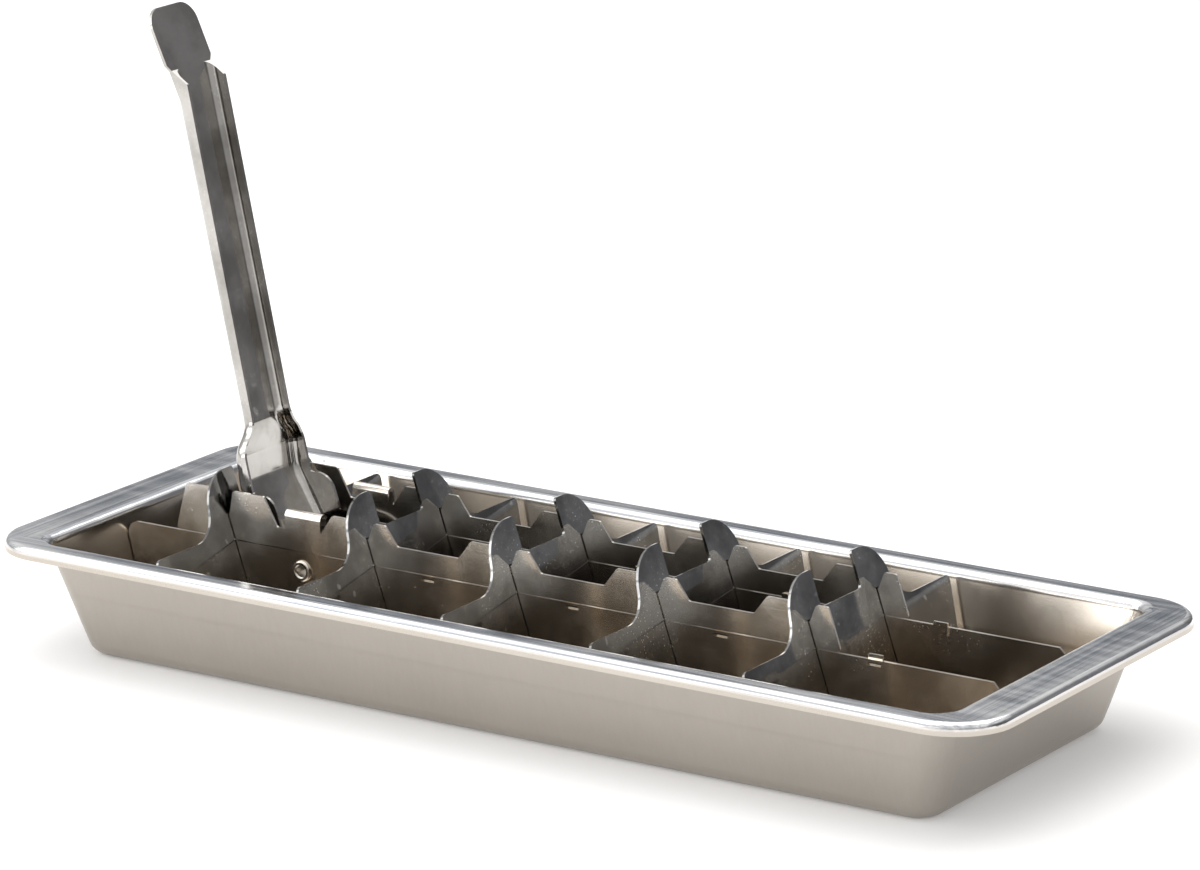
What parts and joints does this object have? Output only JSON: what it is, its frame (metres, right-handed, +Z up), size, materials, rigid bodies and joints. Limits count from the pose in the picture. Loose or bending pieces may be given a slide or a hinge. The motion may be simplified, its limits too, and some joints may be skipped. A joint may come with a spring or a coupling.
{
  "type": "lever ice cube tray",
  "caption": "Shallow rectangular metal tray with a rolled rim and a lift-out divider grid whose leaning cross blades are swung upright by a tall channel lever to free the ice cubes.",
  "frame": {"origin": "centre of the tray's plan, on the surface it stands on", "axes": "+X along the tray away from the lever end, +Y to the back, +Z up"},
  "size_m": [0.28, 0.114, 0.1546],
  "materials": {
    "tray_steel": "satin pressed sheet with a polished rim",
    "divider_steel": "polished sheet with fine marks",
    "rivet_steel": "bright",
    "strip_steel": "polished sheet, bright cut edges",
    "blade_steel": "mirror sheet with fine specks",
    "lever_steel": "polished sheet"
  },
  "bodies": {
    "tray": {"tray": "tray_steel"},
    "grid": {"divider_front": "divider_steel", "divider_back": "divider_steel", "rivet_front": "rivet_steel", "rivet_back": "rivet_steel"},
    "lever": {"lever": "lever_steel"},
    "slider": {"strip_front": "strip_steel", "strip_back": "strip_steel"},
    "blade_1": {"blade_1": "blade_steel"},
    "blade_2": {"blade_2": "blade_steel"},
    "blade_3": {"blade_3": "blade_steel"},
    "blade_4": {"blade_4": "blade_steel"},
    "blade_5": {"blade_5": "blade_steel"}
  },
  "joints": [
    {"name": "grid_lift", "type": "slide", "parent": "tray", "child": "grid", "axis": [0, 0, 1], "range_m": [0, 0.05]},
    {"name": "lever_pivot", "type": "hinge", "parent": "grid", "child": "lever", "pos_m": [-0.0724, 0, 0.0221], "axis": [0, 1, 0], "range_deg": [0, 96]},
    {"name": "strip_slide", "type": "slide", "parent": "grid", "child": "slider", "axis": [1, 0, 0], "range_m": [0, 0.014]},
    {"name": "blade_1_rock", "type": "hinge", "parent": "grid", "child": "blade_1", "pos_m": [-0.08426, 0, 0.002], "axis": [0, 1, 0], "range_deg": [0, 25]},
    {"name": "blade_2_rock", "type": "hinge", "parent": "grid", "child": "blade_2", "pos_m": [-0.04276, 0, 0.002], "axis": [0, 1, 0], "range_deg": [0, 25]},
    {"name": "blade_3_rock", "type": "hinge", "parent": "grid", "child": "blade_3", "pos_m": [-0.00126, 0, 0.002], "axis": [0, 1, 0], "range_deg": [0, 25]},
    {"name": "blade_4_rock", "type": "hinge", "parent": "grid", "child": "blade_4", "pos_m": [0.04024, 0, 0.002], "axis": [0, 1, 0], "range_deg": [0, 25]},
    {"name": "blade_5_rock", "type": "hinge", "parent": "grid", "child": "blade_5", "pos_m": [0.08174, 0, 0.002], "axis": [0, 1, 0], "range_deg": [0, 25]}
  ],
  "couplings": [
    {"joint": "strip_slide", "follows": "lever_pivot", "m_per_rad": 0.008355},
    {"joint": "blade_1_rock", "follows": "lever_pivot", "ratio": 0.2604},
    {"joint": "blade_2_rock", "follows": "lever_pivot", "ratio": 0.2604},
    {"joint": "blade_3_rock", "follows": "lever_pivot", "ratio": 0.2604},
    {"joint": "blade_4_rock", "follows": "lever_pivot", "ratio": 0.2604},
    {"joint": "blade_5_rock", "follows": "lever_pivot", "ratio": 0.2604}
  ]
}
